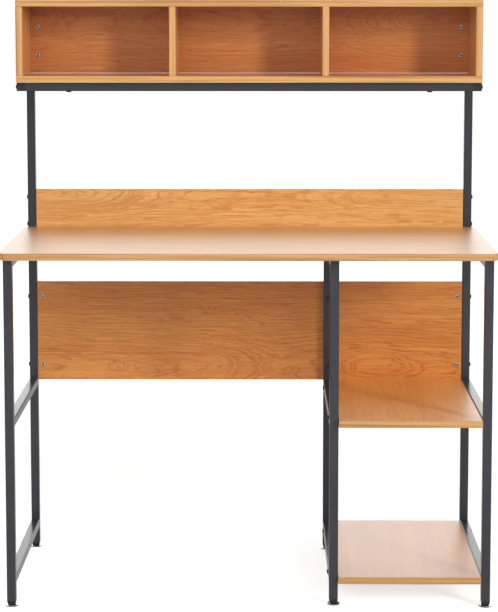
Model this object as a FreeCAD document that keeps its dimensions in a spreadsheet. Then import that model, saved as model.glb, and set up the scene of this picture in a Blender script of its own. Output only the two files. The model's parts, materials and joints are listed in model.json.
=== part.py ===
import FreeCAD, Part
import os
import Sketcher

# A student desk with an open hutch of three cubbies on a frame of square steel tube. Millimetres.
# X runs to the right, Y to the back and Z up. The origin is on the floor under the middle of the desk.

doc = FreeCAD.newDocument("student_desk")

# Driving dimensions: name, value, and what the value measures.
SIZES = (
    ("desk_width", 1050, "desktop, left to right"),
    ("desk_depth", 500, "desktop, front to back"),
    ("desk_height", 765, "floor to the desktop's upper face"),
    ("board_thickness", 15, "every board"),
    ("edge_chamfer", 0.8, "broken edge on every board"),
    ("corner_radius", 20, "desktop's two front corners, in plan"),
    ("desktop_overhang", 8, "desktop past each side frame"),
    ("tube_size", 19, "square tube, outside"),
    ("tube_wall", 1.2, "tube wall"),
    ("tube_chamfer", 1.2, "outer corners of the tube"),
    ("leg_setback", 25, "desktop's front edge to the outer front legs"),
    ("inner_leg_setback", 39, "desktop's front edge to the inner front leg"),
    ("lower_rail_height", 67, "floor to the top of the lower rails"),
    ("shelf_width", 306, "shelves, left to right"),
    ("modesty_height", 233, "modesty panel, bottom to top"),
    ("modesty_drop", 114, "desktop's underside to the modesty panel"),
    ("middle_rail_rise", 4, "modesty panel's lower edge to the top of the middle rails"),
    ("backsplash_height", 100, "backsplash panel, bottom to top"),
    ("backsplash_rise", 88, "desktop's upper face to the backsplash's top edge"),
    ("hutch_gap", 344, "desktop's upper face to the hutch's underside"),
    ("hutch_height", 183, "hutch box, outside"),
    ("hutch_depth", 180, "hutch box, outside"),
    ("hutch_clearance", 22, "hutch's back to the rear posts"),
    ("hutch_back_gap", 0.9, "slot under the hutch's back panel"),
    ("arm_setback", 12, "hutch's front to the arms' front ends"),
    ("bolt_head_diameter", 10.5, "bolt head"),
    ("bolt_head_height", 3, "bolt head"),
    ("modesty_bolt_margin", 36, "modesty panel's long edges to its bolts"),
    ("backsplash_bolt_margin", 18.5, "backsplash's long edges to its bolts"),
    ("shelf_bolt_setback", 72, "shelf's front and rear edges to its bolts"),
    ("hutch_bolt_height", 56.5, "hutch's underside to the lower bolts of its back panel"),
    ("hutch_bolt_spacing", 64.5, "lower to upper bolts of the hutch's back panel"),
    ("nut_diameter", 10, "barrel nut"),
    ("nut_clearance", 0.2, "barrel nut in its bore, on the diameter"),
    ("nut_recess", 1, "panel's face to the barrel nut"),
    ("nut_skin", 2, "wood left behind a barrel nut"),
    ("frame_nut_inset", 12, "end of a panel between the posts to its barrel nuts"),
    ("hutch_nut_inset", 16.5, "end of the hutch's back panel to its barrel nuts"),
    ("mount_screw_diameter", 12, "pan head under the hutch's front rail"),
    ("mount_screw_height", 2.8, "pan head under the hutch's front rail"),
    ("mount_screw_offset", 402, "middle of the desk to those screws"),
    ("leg_screw_diameter", 8, "pan head on the inner rear leg"),
    ("leg_screw_height", 2.2, "pan head on the inner rear leg"),
    ("cap_thickness", 1.5, "plastic cap on a tube's open end"),
    ("cap_plug_depth", 6, "cap's plug inside the tube"),
    ("plug_clearance", 0.2, "plug to the tube's inner wall, on each side"),
    ("foot_diameter", 28, "levelling foot's disc"),
    ("foot_thickness", 3, "levelling foot's disc"),
    ("foot_gap", 0.3, "foot's disc to the insert, screwed right in"),
    ("stem_diameter", 8, "foot's threaded stem"),
    ("stem_length", 26, "stem above the disc"),
    ("thread_clearance", 0.1, "stem to the insert's bore, on the radius"),
    ("flange_height", 8.7, "insert below the tube's end"),
    ("flange_taper", 13, "insert's flange, degrees from upright"),
    ("insert_depth", 16, "insert inside the tube"),
)

# Lines that the pieces share, as expressions of the driving dimensions.
SIDE = "(Sizes.desk_width / 2 - Sizes.desktop_overhang)"
FRONT = "(-(Sizes.desk_depth + Sizes.tube_size / 2 + Sizes.foot_diameter / 2) / 2)"
POST = f"({FRONT} + Sizes.desk_depth)"
LEG = f"({FRONT} + Sizes.leg_setback)"
INNER_LEG = f"({FRONT} + Sizes.inner_leg_setback)"
PANEL_FRONT = f"({POST} + (Sizes.tube_size - Sizes.board_thickness) / 2)"
TUBE_CENTRE = "(Sizes.tube_size / 2)"
UNDERSIDE = "(Sizes.desk_height - Sizes.board_thickness)"
TUBE_END = "(Sizes.foot_thickness + Sizes.foot_gap + Sizes.flange_height)"
HUTCH_FLOOR = "(Sizes.desk_height + Sizes.hutch_gap)"
HUTCH_FRONT = f"({POST} - Sizes.hutch_clearance - Sizes.hutch_depth)"
ARM_FRONT = f"({HUTCH_FRONT} + Sizes.arm_setback)"
PANEL_WIDTH = f"(2 * {SIDE} - 2 * Sizes.tube_size)"
MODESTY_BOTTOM = f"({UNDERSIDE} - Sizes.modesty_drop - Sizes.modesty_height)"
BACKSPLASH_BOTTOM = "(Sizes.desk_height + Sizes.backsplash_rise - Sizes.backsplash_height)"
SHELF_LEFT = f"({SIDE} - Sizes.tube_size - Sizes.shelf_width)"
INNER_LEFT = f"({SHELF_LEFT} - Sizes.tube_size)"
MIDDLE_RAIL = f"({MODESTY_BOTTOM} + Sizes.middle_rail_rise - Sizes.tube_size)"
LOWER_RAIL = "(Sizes.lower_rail_height - Sizes.tube_size)"
NUT_LENGTH = "(Sizes.board_thickness - Sizes.nut_recess - Sizes.nut_skin)"

# Left corner of a tube that runs up or back in each outer frame.
FRAME_LEFT = {"left": f"-{SIDE}", "right": f"{SIDE} - Sizes.tube_size"}

# The plane that a section lies in, by the axis it is padded along, and whether the pad is reversed to
# run towards that axis. The XZ plane faces the front, so a pad from it runs forwards by itself.
SECTION = {"X": ("YZ_Plane", False), "Y": ("XZ_Plane", True), "Z": ("XY_Plane", False)}


def fill_sheet():
    """The spreadsheet that drives the document."""
    sheet = doc.addObject("Spreadsheet::Sheet", "Sizes")
    for row, (name, value, meaning) in enumerate(SIZES, 1):
        sheet.set(f"A{row}", name)
        sheet.set(f"B{row}", str(value))
        sheet.set(f"C{row}", meaning)
        sheet.setAlias(f"B{row}", name)
    doc.recompute()


def new_body(label, x, y, z):
    """A body whose own origin stands at x, y, z."""
    body = doc.addObject("PartDesign::Body", label)
    body.Label = label
    for axis, expression in zip("xyz", (x, y, z)):
        body.setExpression(f"Placement.Base.{axis}", expression)
    return body


def origin_feature(body, role):
    """One of the body's own origin planes or axes."""
    return next(feature for feature in body.Origin.OriginFeatures if feature.Role == role)


def new_sketch(body, role, lift="0"):
    """An empty sketch on an origin plane, moved along the plane's normal by lift."""
    sketch = body.newObject("Sketcher::SketchObject", "Sketch")
    sketch.AttachmentSupport = (origin_feature(body, role), [""])
    sketch.MapMode = "FlatFace"
    sketch.setExpression("AttachmentOffset.Base.z", lift)
    return sketch


def pin(sketch, geometry, point, x, y):
    """Hold one point of the sketch at x, y from its origin."""
    for kind, axis, distance in (("DistanceX", -2, x), ("DistanceY", -1, y)):
        if distance == "0":
            sketch.addConstraint(Sketcher.Constraint("PointOnObject", geometry, point, axis))
        else:
            number = sketch.addConstraint(Sketcher.Constraint(kind, -1, 1, geometry, point, 1.0))
            sketch.setExpression(f"Constraints[{number}]", distance)


def add_outline(sketch, corners):
    """A closed outline of straight lines through the corners, each held at its x, y."""
    first = sketch.GeometryCount
    count = len(corners)
    for number in range(count):
        start = FreeCAD.Vector(number, number * number, 0)
        end = FreeCAD.Vector(number + 1, (number + 1) * (number + 1), 0)
        sketch.addGeometry(Part.LineSegment(start, end), False)
    for number in range(count):
        following = first + (number + 1) % count
        sketch.addConstraint(Sketcher.Constraint("Coincident", first + number, 2, following, 1))
    for number, (x, y) in enumerate(corners):
        pin(sketch, first + number, 1, x, y)


def add_rectangle(sketch, x, y, width, height):
    """A rectangle with its lower left corner at x, y."""
    right = f"{x} + {width}"
    top = f"{y} + {height}"
    add_outline(sketch, ((x, y), (right, y), (right, top), (x, top)))


def add_circles(sketch, points, diameter):
    """Equal circles with their centres at the points."""
    for x, y in points:
        circle = Part.Circle(FreeCAD.Vector(1, 1, 0), FreeCAD.Vector(0, 0, 1), 1)
        number = sketch.addGeometry(circle, False)
        size = sketch.addConstraint(Sketcher.Constraint("Diameter", number, 2.0))
        sketch.setExpression(f"Constraints[{size}]", diameter)
        pin(sketch, number, 3, x, y)


def pad(body, sketch, length, reverse=False, taper="0"):
    """Raise the sketch's outlines into solids."""
    feature = body.newObject("PartDesign::Pad", "Pad")
    feature.Profile = sketch
    feature.Reversed = reverse
    feature.setExpression("Length", length)
    feature.setExpression("TaperAngle", taper)
    doc.recompute()
    return feature


def pocket(body, sketch, depth, reverse=False):
    """Cut the sketch's outlines into the body, and stop if that removes nothing."""
    before = body.Shape.Volume
    feature = body.newObject("PartDesign::Pocket", "Pocket")
    feature.Profile = sketch
    feature.Reversed = reverse
    feature.setExpression("Length", depth)
    doc.recompute()
    if body.Shape.Volume >= before:
        raise RuntimeError(f"{body.Label}: a pocket cut nothing")
    return feature


def mirror(body, originals, role):
    """Copy features to the other side of one of the body's origin planes."""
    feature = body.newObject("PartDesign::Mirrored", "Mirrored")
    feature.Originals = originals
    feature.MirrorPlane = (origin_feature(body, role), [""])
    body.Tip = feature
    doc.recompute()
    return feature


def edge_names(feature, chosen):
    """Names of the feature's edges whose bounding boxes pass the test."""
    return [f"Edge{n}" for n, edge in enumerate(feature.Shape.Edges, 1) if chosen(edge.BoundBox)]


def dress(body, kind, base, names, size_name, size):
    """Round or break the named edges of a feature."""
    feature = body.newObject(f"PartDesign::{kind}", kind)
    feature.Base = (base, names)
    feature.setExpression(size_name, size)
    doc.recompute()
    return feature


def tube(label, along, x, y, z, length):
    """A straight square tube along one axis, with broken outer corners and open ends."""
    role, reverse = SECTION[along]
    body = new_body(label, x, y, z)
    section = new_sketch(body, role)
    bore = "Sizes.tube_size - 2 * Sizes.tube_wall"
    add_rectangle(section, "0", "0", "Sizes.tube_size", "Sizes.tube_size")
    add_rectangle(section, "Sizes.tube_wall", "Sizes.tube_wall", bore, bore)
    bar = pad(body, section, length, reverse)
    hull = bar.Shape.BoundBox
    across = [axis for axis in "XYZ" if axis != along]

    def on_outer_corner(box):
        """True for an edge that runs along the tube in two of its outer faces."""
        runs = getattr(box, along + "Length") > getattr(hull, along + "Length") / 2
        for axis in across:
            middle = getattr(box.Center, axis.lower())
            low, high = getattr(hull, axis + "Min"), getattr(hull, axis + "Max")
            runs = runs and min(middle - low, high - middle) < (high - low) / 100
        return runs

    dress(body, "Chamfer", bar, edge_names(bar, on_outer_corner), "Size", "Sizes.tube_chamfer")
    return body


def board(label, normal, x, y, z, width, height):
    """A board square to one axis with its edges broken; width and height lie in its own plane."""
    role, reverse = SECTION[normal]
    body = new_body(label, x, y, z)
    face = new_sketch(body, role)
    add_rectangle(face, "0", "0", width, height)
    slab = pad(body, face, "Sizes.board_thickness", reverse)
    every_edge = edge_names(slab, lambda box: True)
    dress(body, "Chamfer", slab, every_edge, "Size", "Sizes.edge_chamfer")
    return body


def desktop():
    """The desktop: a board with two rounded front corners, which side frames carry."""
    body = new_body("desktop", "-Sizes.desk_width / 2", FRONT, UNDERSIDE)
    face = new_sketch(body, "XY_Plane")
    add_rectangle(face, "0", "0", "Sizes.desk_width", "Sizes.desk_depth")
    slab = pad(body, face, "Sizes.board_thickness")
    middle = slab.Shape.BoundBox.Center.y
    front_corners = edge_names(slab, lambda box: box.ZLength > box.DiagonalLength / 2 and box.YMax < middle)
    rounded = dress(body, "Fillet", slab, front_corners, "Radius", "Sizes.corner_radius")
    flat_edges = edge_names(rounded, lambda box: box.ZLength < box.DiagonalLength / 100)
    dress(body, "Chamfer", rounded, flat_edges, "Size", "Sizes.edge_chamfer")


def side_frames():
    """Two welded frames: front leg, tall rear post, three rails and the arm under the hutch."""
    rail_front = f"{LEG} + Sizes.tube_size"
    rail_length = "Sizes.desk_depth - Sizes.leg_setback - Sizes.tube_size"
    arm_start = f"{ARM_FRONT} + Sizes.cap_thickness"
    arm_length = f"{POST} - {ARM_FRONT} - Sizes.cap_thickness"
    arm_bottom = f"{HUTCH_FLOOR} - Sizes.tube_size"
    for side, x in FRAME_LEFT.items():
        tube(f"{side}_front_leg", "Z", x, LEG, TUBE_END, f"{UNDERSIDE} - {TUBE_END}")
        tube(f"{side}_rear_post", "Z", x, POST, TUBE_END, f"{HUTCH_FLOOR} - {TUBE_END}")
        tube(f"{side}_top_rail", "Y", x, rail_front, f"{UNDERSIDE} - Sizes.tube_size", rail_length)
        tube(f"{side}_middle_rail", "Y", x, rail_front, MIDDLE_RAIL, rail_length)
        tube(f"{side}_lower_rail", "Y", x, rail_front, LOWER_RAIL, rail_length)
        tube(f"{side}_hutch_arm", "Y", x, arm_start, arm_bottom, arm_length)


def inner_frame():
    """The welded frame at the shelves' left: two legs as high as the desktop, and three rails."""
    rear_leg = f"{PANEL_FRONT} - Sizes.tube_size"
    leg_length = f"{UNDERSIDE} - {TUBE_END}"
    rail_front = f"{INNER_LEG} + Sizes.tube_size"
    rail_length = f"{PANEL_FRONT} - {INNER_LEG} - 2 * Sizes.tube_size"
    tube("inner_front_leg", "Z", INNER_LEFT, INNER_LEG, TUBE_END, leg_length)
    tube("inner_rear_leg", "Z", INNER_LEFT, rear_leg, TUBE_END, leg_length)
    tube("inner_top_rail", "Y", INNER_LEFT, rail_front, f"{UNDERSIDE} - Sizes.tube_size", rail_length)
    tube("inner_middle_rail", "Y", INNER_LEFT, rail_front, MIDDLE_RAIL, rail_length)
    tube("inner_lower_rail", "Y", INNER_LEFT, rail_front, LOWER_RAIL, rail_length)


def hutch_front_rail():
    """The tube between the arms' front ends, under the hutch."""
    left = f"Sizes.tube_size - {SIDE}"
    tube("hutch_front_rail", "X", left, ARM_FRONT, f"{HUTCH_FLOOR} - Sizes.tube_size", PANEL_WIDTH)


def barrel_nuts(label, panel, x, y, z, points):
    """Barrel nuts sunk into a panel's front face, and the bores that hold them.

    The points lie in the panel's own plane, from its lower left corner at x, y, z.
    """
    bores = new_sketch(panel, "XZ_Plane")
    add_circles(bores, points, "Sizes.nut_diameter + Sizes.nut_clearance")
    pocket(panel, bores, "Sizes.board_thickness - Sizes.nut_skin")
    nuts = new_body(label, x, y, z)
    faces = new_sketch(nuts, "XZ_Plane", "-Sizes.nut_recess")
    add_circles(faces, points, "Sizes.nut_diameter")
    pad(nuts, faces, NUT_LENGTH, reverse=True)


def bolt_heads(label, middle, reach, points):
    """Bolt heads on two faces that look left and right, each reach away from the middle.

    The points give y and z of the bolts' axes.
    """
    body = new_body(label, middle, "0", "0")
    heads = new_sketch(body, "YZ_Plane", reach)
    add_circles(heads, points, "Sizes.bolt_head_diameter")
    right_heads = pad(body, heads, "Sizes.bolt_head_height")
    mirror(body, [right_heads], "YZ_Plane")


def rear_panels():
    """The modesty panel and the backsplash between the posts, each bolted through the posts."""
    left = f"Sizes.tube_size - {SIDE}"
    bolt_y = f"{POST} + {TUBE_CENTRE}"
    modesty = board("modesty_panel", "Y", left, PANEL_FRONT, MODESTY_BOTTOM, PANEL_WIDTH, "Sizes.modesty_height")
    low = "Sizes.modesty_bolt_margin"
    high = "Sizes.modesty_height - Sizes.modesty_bolt_margin"
    ends = ("Sizes.frame_nut_inset", f"{PANEL_WIDTH} - Sizes.frame_nut_inset")
    points = [(end, level) for end in ends for level in (low, high)]
    barrel_nuts("modesty_barrel_nuts", modesty, left, PANEL_FRONT, MODESTY_BOTTOM, points)
    bolts = [(bolt_y, f"{MODESTY_BOTTOM} + {level}") for level in (low, high)]
    bolt_heads("modesty_bolts", "0", SIDE, bolts)

    board("backsplash_panel", "Y", left, PANEL_FRONT, BACKSPLASH_BOTTOM, PANEL_WIDTH, "Sizes.backsplash_height")
    low = "Sizes.backsplash_bolt_margin"
    high = "Sizes.backsplash_height - Sizes.backsplash_bolt_margin"
    bolts = [(bolt_y, f"{BACKSPLASH_BOTTOM} + {level}") for level in (low, high)]
    bolt_heads("backsplash_bolts", "0", SIDE, bolts)


def shelves():
    """Two shelves between the inner frame and the right frame, bolted through the rails."""
    depth = f"{PANEL_FRONT} - {LEG}"
    drop = "(Sizes.tube_size - Sizes.board_thickness) / 2"
    for label, rail in (("middle_shelf", MIDDLE_RAIL), ("lower_shelf", LOWER_RAIL)):
        board(label, "Z", SHELF_LEFT, LEG, f"{rail} + {drop}", "Sizes.shelf_width", depth)
    bolts = []
    for y in (f"{LEG} + Sizes.shelf_bolt_setback", f"{PANEL_FRONT} - Sizes.shelf_bolt_setback"):
        for rail in (MIDDLE_RAIL, LOWER_RAIL):
            bolts.append((y, f"{rail} + {TUBE_CENTRE}"))
    bolt_heads("shelf_bolts", f"({INNER_LEFT} + {SIDE}) / 2", f"({SIDE} - {INNER_LEFT}) / 2", bolts)


def hutch():
    """The hutch: top, bottom and sides, two dividers that make three equal cubbies, and the back."""
    left = f"-{SIDE}"
    width = f"2 * {SIDE}"
    thickness = "Sizes.board_thickness"
    floor = f"{HUTCH_FLOOR} + {thickness}"
    clear_height = f"Sizes.hutch_height - 2 * {thickness}"
    clear_width = f"(2 * {SIDE} - 2 * {thickness})"
    back = f"{HUTCH_FRONT} + Sizes.hutch_depth - {thickness}"
    divider = f"({clear_width} + {thickness}) / 6"
    board("hutch_bottom", "Z", left, HUTCH_FRONT, HUTCH_FLOOR, width, "Sizes.hutch_depth")
    board("hutch_top", "Z", left, HUTCH_FRONT, f"{floor} + {clear_height}", width, "Sizes.hutch_depth")
    board("hutch_left_side", "X", left, HUTCH_FRONT, floor, "Sizes.hutch_depth", clear_height)
    right = f"{SIDE} - {thickness}"
    board("hutch_right_side", "X", right, HUTCH_FRONT, floor, "Sizes.hutch_depth", clear_height)
    divider_depth = f"Sizes.hutch_depth - {thickness}"
    for label, centre in (("hutch_left_divider", f"-{divider}"), ("hutch_right_divider", divider)):
        board(label, "X", f"{centre} - {thickness} / 2", HUTCH_FRONT, floor, divider_depth, clear_height)

    back_left = f"{thickness} - {SIDE}"
    back_bottom = f"{floor} + Sizes.hutch_back_gap"
    back_height = f"{clear_height} - Sizes.hutch_back_gap"
    panel = board("hutch_back_panel", "Y", back_left, back, back_bottom, clear_width, back_height)
    low = "Sizes.hutch_bolt_height"
    high = "Sizes.hutch_bolt_height + Sizes.hutch_bolt_spacing"
    below_panel = f"({thickness} + Sizes.hutch_back_gap)"
    ends = ("Sizes.hutch_nut_inset", f"{clear_width} - Sizes.hutch_nut_inset")
    points = [(end, f"{level} - {below_panel}") for end in ends for level in (low, high)]
    barrel_nuts("hutch_barrel_nuts", panel, back_left, back, back_bottom, points)
    bolts = [(f"{back} + {thickness} / 2", f"{HUTCH_FLOOR} + {level}") for level in (low, high)]
    bolt_heads("hutch_back_bolts", "0", SIDE, bolts)


def hutch_fixings():
    """What holds the hutch: bolts from the arms into the front rail, and screws up through the rail."""
    rail_y = f"{ARM_FRONT} + {TUBE_CENTRE}"
    bolt_heads("hutch_rail_bolts", "0", SIDE, [(rail_y, f"{HUTCH_FLOOR} - {TUBE_CENTRE}")])
    body = new_body("hutch_mount_screws", "0", rail_y, f"{HUTCH_FLOOR} - Sizes.tube_size")
    heads = new_sketch(body, "XY_Plane")
    points = [(f"{sign}Sizes.mount_screw_offset", "0") for sign in ("-", "")]
    add_circles(heads, points, "Sizes.mount_screw_diameter")
    pad(body, heads, "Sizes.mount_screw_height", reverse=True)


def inner_leg_screws():
    """Two screws from the front through the inner rear leg into the modesty panel."""
    leg_face = f"{PANEL_FRONT} - Sizes.tube_size"
    body = new_body("inner_leg_screws", f"{INNER_LEFT} + {TUBE_CENTRE}", leg_face, MODESTY_BOTTOM)
    heads = new_sketch(body, "XZ_Plane")
    levels = ("Sizes.modesty_bolt_margin", "Sizes.modesty_height - Sizes.modesty_bolt_margin")
    add_circles(heads, [("0", level) for level in levels], "Sizes.leg_screw_diameter")
    pad(body, heads, "Sizes.leg_screw_height")


def end_caps():
    """Plastic caps on the posts' upper ends and the arms' front ends, each with a plug in the tube."""
    inset = "(Sizes.tube_wall + Sizes.plug_clearance)"
    plug = f"(Sizes.tube_size - 2 * {inset})"
    arm_end = f"{ARM_FRONT} + Sizes.cap_thickness"
    arm_bottom = f"{HUTCH_FLOOR} - Sizes.tube_size"
    plate = ("0", "Sizes.tube_size", "Sizes.cap_thickness", False)
    filling = (inset, plug, "Sizes.cap_plug_depth", True)
    caps = (("post_caps", "XY_Plane", POST, HUTCH_FLOOR), ("arm_caps", "XZ_Plane", arm_end, arm_bottom))
    for label, role, y, z in caps:
        body = new_body(label, "0", y, z)
        for offset, size, height, inwards in (plate, filling):
            outlines = new_sketch(body, role)
            for x in FRAME_LEFT.values():
                add_rectangle(outlines, f"{x} + {offset}", offset, size, size)
            pad(body, outlines, height, inwards)


def leg_positions():
    """Lower left corner of each leg in plan, by the name of its foot."""
    places = {}
    for side, x in FRAME_LEFT.items():
        places[f"front_{side}_foot"] = (x, LEG)
        places[f"rear_{side}_foot"] = (x, POST)
    places["front_inner_foot"] = (INNER_LEFT, INNER_LEG)
    places["rear_inner_foot"] = (INNER_LEFT, f"{PANEL_FRONT} - Sizes.tube_size")
    return places


def leg_inserts():
    """Plastic inserts in the legs' lower ends: a tapered flange, a plug, and a bore for the stem."""
    inset = "(Sizes.tube_wall + Sizes.plug_clearance)"
    plug = f"(Sizes.tube_size - 2 * {inset})"
    body = new_body("leg_inserts", "0", "0", TUBE_END)
    flanges = new_sketch(body, "XY_Plane")
    plugs = new_sketch(body, "XY_Plane")
    bores = new_sketch(body, "XY_Plane", "-Sizes.flange_height")
    centres = []
    for x, y in leg_positions().values():
        add_rectangle(flanges, x, y, "Sizes.tube_size", "Sizes.tube_size")
        add_rectangle(plugs, f"{x} + {inset}", f"{y} + {inset}", plug, plug)
        centres.append((f"{x} + {TUBE_CENTRE}", f"{y} + {TUBE_CENTRE}"))
    add_circles(bores, centres, "Sizes.stem_diameter + 2 * Sizes.thread_clearance")
    pad(body, flanges, "Sizes.flange_height", reverse=True, taper="-Sizes.flange_taper")
    pad(body, plugs, "Sizes.insert_depth")
    pocket(body, bores, "Sizes.flange_height + Sizes.insert_depth", reverse=True)


def levelling_feet():
    """Six levelling feet: a disc that stands on the floor, and a stem up into the insert."""
    rim = "Sizes.foot_diameter / 2"
    stem = "Sizes.stem_diameter / 2"
    rise = "Sizes.foot_thickness"
    top = f"{rise} + Sizes.stem_length"
    for label, (x, y) in leg_positions().items():
        body = new_body(label, f"{x} + {TUBE_CENTRE}", f"{y} + {TUBE_CENTRE}", "0")
        profile = new_sketch(body, "XZ_Plane")
        add_outline(profile, (("0", "0"), (rim, "0"), (rim, rise), (stem, rise), (stem, top), ("0", top)))
        turned = body.newObject("PartDesign::Revolution", "Revolution")
        turned.Profile = profile
        turned.ReferenceAxis = (origin_feature(body, "Z_Axis"), [""])
        turned.Angle = 360
        doc.recompute()


def write_parts():
    """Check every object of the document, then write each body to its own STEP file."""
    doc.recompute()
    for item in doc.Objects:
        if "Invalid" in item.State or "Error" in item.State:
            raise RuntimeError(f"{item.Label} failed: {item.State}")
    bodies = [item for item in doc.Objects if item.TypeId == "PartDesign::Body"]
    for body in bodies:
        if body.Shape.isNull() or not body.Shape.isValid() or not body.Shape.Solids:
            raise RuntimeError(f"{body.Label} has no valid solid")
    os.makedirs("parts", exist_ok=True)
    for body in bodies:
        body.Shape.exportStep(f"parts/{body.Label}.step")
        print(f"{body.Label}: {len(body.Shape.Solids)} solid(s), {body.Shape.Volume:.0f} mm3")


fill_sheet()
desktop()
side_frames()
inner_frame()
hutch_front_rail()
rear_panels()
shelves()
hutch()
hutch_fixings()
inner_leg_screws()
end_caps()
leg_inserts()
levelling_feet()
write_parts()
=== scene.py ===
import json
import math

import bmesh
import bpy
from mathutils import Matrix, Vector

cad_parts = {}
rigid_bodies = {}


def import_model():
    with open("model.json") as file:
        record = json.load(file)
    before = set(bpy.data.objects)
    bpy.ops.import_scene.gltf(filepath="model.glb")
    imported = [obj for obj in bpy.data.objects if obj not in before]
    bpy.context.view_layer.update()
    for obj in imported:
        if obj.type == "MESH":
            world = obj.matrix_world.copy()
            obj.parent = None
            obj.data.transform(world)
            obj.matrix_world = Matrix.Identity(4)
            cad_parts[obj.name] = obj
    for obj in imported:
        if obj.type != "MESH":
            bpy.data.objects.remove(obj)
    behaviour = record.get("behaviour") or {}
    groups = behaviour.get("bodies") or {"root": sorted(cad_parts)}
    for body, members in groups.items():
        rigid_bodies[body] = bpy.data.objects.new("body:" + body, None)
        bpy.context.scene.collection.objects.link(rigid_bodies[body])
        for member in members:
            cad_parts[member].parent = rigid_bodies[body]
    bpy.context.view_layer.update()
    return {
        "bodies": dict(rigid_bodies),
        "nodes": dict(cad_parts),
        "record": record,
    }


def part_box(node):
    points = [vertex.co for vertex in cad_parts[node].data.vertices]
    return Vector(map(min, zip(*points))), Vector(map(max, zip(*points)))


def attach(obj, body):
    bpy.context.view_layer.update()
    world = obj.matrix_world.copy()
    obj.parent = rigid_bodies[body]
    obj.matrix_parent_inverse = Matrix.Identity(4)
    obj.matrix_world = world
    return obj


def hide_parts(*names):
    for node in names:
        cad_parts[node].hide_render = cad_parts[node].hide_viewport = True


# A student desk with an open hutch: oak-look boards on a frame of square steel tube.
# Metres. X runs to the right, Y to the back and Z up, from the floor under the middle of the desk.
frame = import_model()
nodes = frame["nodes"]
scene = bpy.context.scene


# ---- Desktop ------------------------------------------------------------------------------------
# A 15 mm particle board faced with oak-look foil and lipped with a strip of the same oak along its
# edges. It lies on the side frames; screws come up through the top rails into its underside.
OAK_LIGHT = (0.775, 0.420, 0.136)
OAK_MIDDLE = (0.668, 0.306, 0.089)
OAK_DARK = (0.440, 0.118, 0.022)
LIP_LIGHT = (0.655, 0.360, 0.140)
LIP_DARK = (0.430, 0.198, 0.064)
# How many marks of each kind lie in a metre along the grain and across it.
WANDERING = (2.4, 7.0)
RAGGED_RINGS = (16.0, 90.0)
FADING = (5.0, 24.0)
STREAKS = (8.0, 330.0)
BANDS = (1.6, 42.0)
VEINS = (15.0, 640.0)
PORES = (42.0, 800.0)
CLOUDS = (1.6, 5.0)
LIP_STREAKS = (2.6, 230.0)
FLOW_ALONG = 17.0
FLOW_INTO = 60.0
# How many runs of good and poor years lie in a metre outwards from the heart.
RUNS_OF_YEARS = 34.0
# How strongly each kind of mark darkens the oak.
RING_SHADE = 0.90
FLOW_SHADE = 0.62
VEIN_SHADE = 0.42
KNOT_SHADE = 0.70
PORE_SHADE = 0.34
# One year's growth, from pale early wood into a thin dark line of late wood and back.
ONE_YEAR = ((0.0, 1.0), (0.38, 0.95), (0.50, 0.0), (0.56, 0.35), (0.70, 0.90), (1.0, 1.0))
# The foil's clear coat with its sheen, the bump of its pores and the softened corners of the board.
LACQUER = 1.0
LACQUER_ROUGHNESS = 0.35
SLANTED_SHEEN = 0.9
PORE_BUMP = 0.18
PORE_DEPTH = 0.00012
CORNER_RADIUS = 0.0008
# A surface counts as turned to an axis when its normal has at least this share along it.
TURNED = 0.75
AXES = "XYZ"


def put(tree, kind, inputs=(), out=0, **settings):
    """Add one shader node, fill or link its inputs, and return one of its outputs."""
    node = tree.nodes.new("ShaderNode" + kind)
    for name, value in settings.items():
        setattr(node, name, value)
    for name, value in dict(inputs).items():
        if isinstance(value, bpy.types.NodeSocket):
            tree.links.new(value, node.inputs[name])
        else:
            node.inputs[name].default_value = value
    return node.outputs[out]


def parts_of(tree, vector):
    """The three outputs of a vector, which answer to X, Y and Z."""
    return put(tree, "SeparateXYZ", {0: vector}).node.outputs


def math_node(tree, operation, first, second=0.0, third=0.0):
    """One sum, product or other step between numbers."""
    return put(tree, "Math", {0: first, 1: second, 2: third}, operation=operation)


def times(tree, first, second):
    """The product of two numbers."""
    return math_node(tree, "MULTIPLY", first, second)


def scaled(tree, value, scale, start):
    """A number times a scale, plus a start."""
    return math_node(tree, "MULTIPLY_ADD", value, scale, start)


def larger(tree, first, second):
    """The larger of two numbers."""
    return math_node(tree, "MAXIMUM", first, second)


def blend_numbers(tree, factor, first, second):
    """First where the factor is 0, second where it is 1."""
    return put(tree, "Mix", {0: factor, 2: first, 3: second}, data_type="FLOAT")


def blend_colours(tree, factor, first, second, mode="MIX"):
    """The same for colours, in any of the blend modes."""
    inputs = {0: factor, 6: first, 7: second}
    return put(tree, "Mix", inputs, out=2, data_type="RGBA", blend_type=mode)


def opaque(colour):
    """A colour with full alpha; one number stands for a grey."""
    red, green, blue = colour if isinstance(colour, tuple) else (colour, colour, colour)
    return (red, green, blue, 1.0)


def ramp(tree, factor, stops, smooth=False):
    """A colour ramp with its stops given as position and colour or grey level."""
    node = tree.nodes.new("ShaderNodeValToRGB")
    node.color_ramp.interpolation = "EASE" if smooth else "LINEAR"
    tree.links.new(factor, node.inputs[0])
    elements = node.color_ramp.elements
    while len(elements) < len(stops):
        elements.new(0.5)
    for element, (position, colour) in zip(elements, stops):
        element.position = position
        element.color = opaque(colour)
    return node.outputs[0]


def noise_4d(tree, place, seed, scale=1.0, detail=2.0, roughness=0.5):
    """Noise at a place, with the seed as its fourth coordinate."""
    inputs = {"Vector": place, "W": seed, "Scale": scale, "Detail": detail, "Roughness": roughness}
    return put(tree, "TexNoise", inputs, noise_dimensions="4D")


def fibres(tree, spot, density, seed, detail=2.0, roughness=0.5):
    """Noise drawn out along the grain, so dense along it and across it."""
    length, width, depth = spot
    along, across = density
    stretched = put(tree, "CombineXYZ", {
        0: times(tree, length, along), 1: times(tree, width, across), 2: times(tree, depth, across),
    })
    return noise_4d(tree, stretched, seed, detail=detail, roughness=roughness)


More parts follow.
